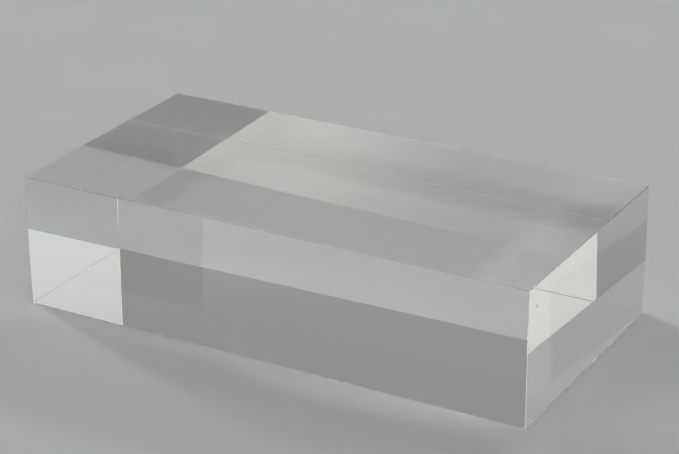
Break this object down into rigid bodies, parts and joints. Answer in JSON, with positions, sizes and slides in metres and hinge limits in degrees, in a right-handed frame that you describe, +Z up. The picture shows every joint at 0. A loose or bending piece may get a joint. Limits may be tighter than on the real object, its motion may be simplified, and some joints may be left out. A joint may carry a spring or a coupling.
{
  "type": "acrylic display block",
  "caption": "Solid clear acrylic display block with polished faces and finely bevelled edges, a plain plinth for showing small objects.",
  "frame": {"origin": "centre of the bottom face, where the block stands", "axes": "+X along the length to the right end, +Y from the front face to the back face, +Z up"},
  "size_m": [0.2, 0.1, 0.05],
  "materials": {
    "clear_acrylic": "polished"
  },
  "bodies": {
    "root": {"display_block": "clear_acrylic"}
  },
  "joints": []
}
